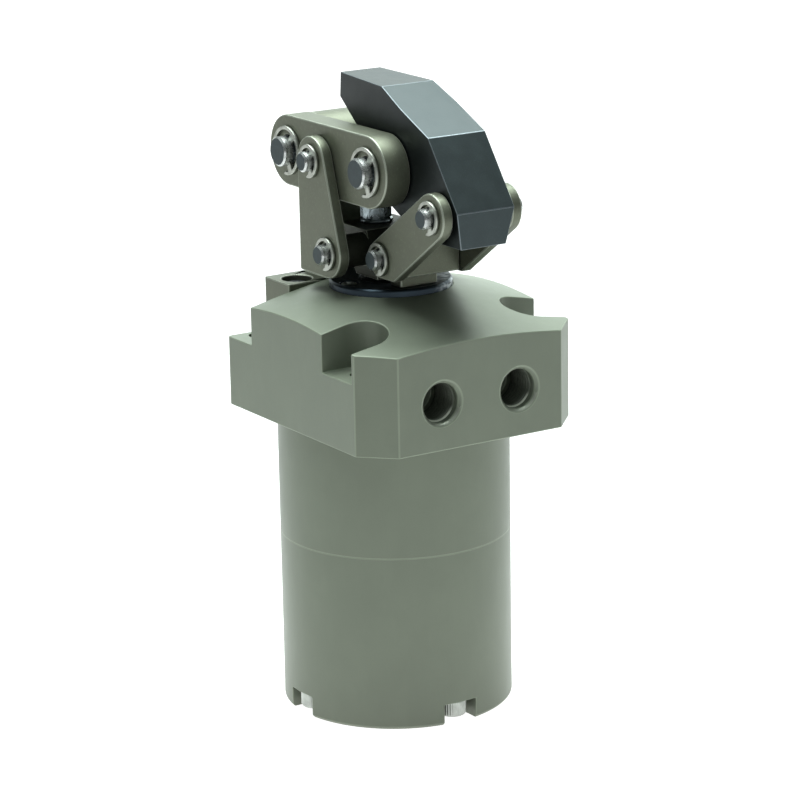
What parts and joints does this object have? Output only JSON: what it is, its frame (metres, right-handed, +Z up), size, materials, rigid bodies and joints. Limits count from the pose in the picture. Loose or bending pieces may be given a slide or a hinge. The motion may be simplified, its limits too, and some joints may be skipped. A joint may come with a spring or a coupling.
{
  "type": "pneumatic link clamp",
  "caption": "Flange-mounted round air cylinder whose rod swings a linked clamp arm over the flange through fork, tall and tie links.",
  "frame": {"origin": "centre of the flange's underside, on the cylinder axis, where it seats on the fixture", "axes": "+Z up along the cylinder axis towards the links, +Y towards the arm's nose, -Y out of the air ports, X along the link pins"},
  "size_m": [0.0748, 0.0885, 0.191],
  "materials": {
    "body": "hard-coated satin grey-green",
    "links": "olive oxide, satin",
    "arm": "black oxide, satin",
    "pins": "ground",
    "rings": "bright spring steel",
    "bright_screws": "bright zinc",
    "dark_screws": "black oxide",
    "gland": "dark blue-grey oxide",
    "rod": "hard chrome",
    "inner": "machined",
    "bush": "turned bronze",
    "seals": "moulded"
  },
  "bodies": {
    "base": {"flange_body": "body", "lower_barrel": "body", "chamber_divider": "inner", "divider_seal": "seals", "barrel_screws": "bright_screws", "guide_bush": "bush", "rod_seal": "seals", "gland_ring": "gland", "rod_wiper": "seals", "front_tower": "links", "tower_screws": "dark_screws", "rear_lug": "links", "gland_screws": "bright_screws", "lug_screws": "bright_screws", "tower_pin": "pins", "tower_pin_rings": "rings", "lug_pin": "pins", "lug_pin_rings": "rings"},
    "rod": {"piston_rod": "rod", "upper_piston": "inner", "upper_piston_seal": "seals", "ring_nut": "rod", "lower_piston": "inner", "lower_piston_seal": "seals", "tail_nut": "rod", "rod_head": "links", "stop_screw": "bright_screws", "nut_washer": "bright_screws", "lock_nut": "bright_screws", "rod_pin": "pins", "rod_pin_rings": "rings"},
    "fork": {"fork_link": "links", "arm_pin": "pins", "arm_pin_rings": "rings"},
    "arm": {"clamp_arm": "arm"},
    "tall_links": {"near_tall_link": "links", "far_tall_link": "links", "drive_pin": "pins", "drive_pin_rings": "rings"},
    "tie_links": {"near_tie_link": "links", "far_tie_link": "links", "tail_pin": "pins", "tail_pin_rings": "rings"}
  },
  "joints": [
    {"name": "rod_slide", "type": "slide", "parent": "base", "child": "rod", "axis": [0, 0, 1], "range_m": [0, 0.012]},
    {"name": "fork_swing", "type": "hinge", "parent": "base", "child": "fork", "pos_m": [0, 0.0269, 0.077], "axis": [1, 0, 0], "range_deg": [-35, 0]},
    {"name": "arm_turn", "type": "hinge", "parent": "fork", "child": "arm", "pos_m": [0, -0.0169, 0.077], "axis": [1, 0, 0], "range_deg": [0, 66.2]},
    {"name": "tall_link_tilt", "type": "hinge", "parent": "rod", "child": "tall_links", "pos_m": [0, 0, 0.0505], "axis": [1, 0, 0], "range_deg": [-7.5, 0]},
    {"name": "tie_link_swing", "type": "hinge", "parent": "base", "child": "tie_links", "pos_m": [0, -0.0154, 0.0505], "axis": [1, 0, 0], "range_deg": [-39.3, 0]}
  ],
  "couplings": [
    {"joint": "fork_swing", "follows": "rod_slide", "rad_per_m": -50.824},
    {"joint": "arm_turn", "follows": "rod_slide", "rad_per_m": 96.13},
    {"joint": "tall_link_tilt", "follows": "rod_slide", "rad_per_m": -10.852},
    {"joint": "tie_link_swing", "follows": "rod_slide", "rad_per_m": -57.045}
  ]
}
